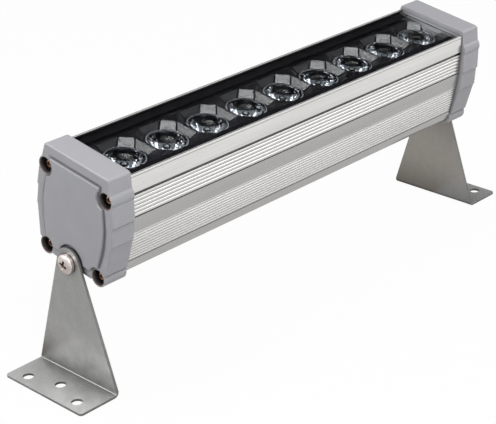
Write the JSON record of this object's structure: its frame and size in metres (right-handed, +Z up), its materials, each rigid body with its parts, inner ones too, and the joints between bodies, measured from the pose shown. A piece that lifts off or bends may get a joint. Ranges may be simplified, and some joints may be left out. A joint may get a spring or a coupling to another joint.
{
  "type": "led wall washer",
  "caption": "Slim linear wall washer: ribbed metal lamp body with end caps, a glass front over a row of lensed lights, and folded swivel brackets to bolt down",
  "frame": {"origin": "On the mounting surface, midway between the two brackets, under the lamp's pivot axis", "axes": "+X along the lamp towards the end with the cable gland, -Y the side the lamp leans to and the picture is taken from, +Z up from the mounting surface"},
  "size_m": [0.3546, 0.0655, 0.1299],
  "materials": {
    "anodised_profile": "clear anodised extrusion, faintly brushed along its length",
    "painted_casting": "fine-textured grey paint on an aluminium casting",
    "black_rubber": "matte black seal rubber",
    "coppery_steel": "small cross-head screws that look coppery in their bores",
    "clear_glass": "clear toughened glass, polished",
    "black_gloss_plastic": "black moulded plastic with a soft gloss",
    "grey_pad": "soft grey heat pad",
    "white_board": "white lacquered metal-core board",
    "zinc_steel": "zinc-plated steel",
    "white_plastic": "white plastic case",
    "green_board": "green lacquered board",
    "dark_parts": "dark electronic parts",
    "red_lead": "coloured insulated leads",
    "black_plastic": "black moulded plastic",
    "bright_steel": "bright steel cross-head screw",
    "grey_fibre": "grey fibre washer",
    "satin_steel": "satin stainless sheet",
    "light_package": "white package under a yellow phosphor dome",
    "clear_lens": "clear moulded lens"
  },
  "bodies": {
    "left_bracket": {"bracket_left": "satin_steel"},
    "lamp": {"housing": "anodised_profile", "end_cap_left": "painted_casting", "end_cap_right": "painted_casting", "cap_gasket_left": "black_rubber", "cap_gasket_right": "black_rubber", "cap_screws_left": "coppery_steel", "cap_screws_right": "coppery_steel", "glass_cover": "clear_glass", "glass_seal_front": "black_rubber", "glass_seal_rear": "black_rubber", "lens_tray": "black_gloss_plastic", "thermal_pad": "grey_pad", "light_board": "white_board", "board_screws": "zinc_steel", "driver_case": "white_plastic", "driver_board": "green_board", "driver_components": "dark_parts", "driver_cover": "white_plastic", "light_leads": "red_lead", "gland_body": "black_plastic", "gland_gasket": "black_rubber", "gland_seal": "black_rubber", "gland_nut": "black_plastic", "gland_lock_nut": "black_plastic", "pivot_screw_left": "bright_steel", "pivot_screw_right": "bright_steel", "friction_washer_left": "grey_fibre", "friction_washer_right": "grey_fibre", "led_1": "light_package", "led_2": "light_package", "led_3": "light_package", "led_4": "light_package", "led_5": "light_package", "led_6": "light_package", "led_7": "light_package", "led_8": "light_package", "led_9": "light_package", "lens_holder_1": "black_plastic", "lens_holder_2": "black_plastic", "lens_holder_3": "black_plastic", "lens_holder_4": "black_plastic", "lens_holder_5": "black_plastic", "lens_holder_6": "black_plastic", "lens_holder_7": "black_plastic", "lens_holder_8": "black_plastic", "lens_holder_9": "black_plastic", "lens_1": "clear_lens", "lens_2": "clear_lens", "lens_3": "clear_lens", "lens_4": "clear_lens", "lens_5": "clear_lens", "lens_6": "clear_lens", "lens_7": "clear_lens", "lens_8": "clear_lens", "lens_9": "clear_lens"},
    "right_bracket": {"bracket_right": "satin_steel"}
  },
  "joints": [
    {"name": "lamp_tilt", "type": "hinge", "parent": "left_bracket", "child": "lamp", "pos_m": [0, 0, 0.0678], "axis": [1, 0, 0], "range_deg": [-99.4, 80.6]},
    {"name": "right_bracket_swing", "type": "hinge", "parent": "lamp", "child": "right_bracket", "pos_m": [0, 0, 0.0678], "axis": [1, 0, 0], "range_deg": [-80.6, 99.4]}
  ],
  "couplings": [
    {"joint": "right_bracket_swing", "follows": "lamp_tilt", "ratio": -1}
  ]
}
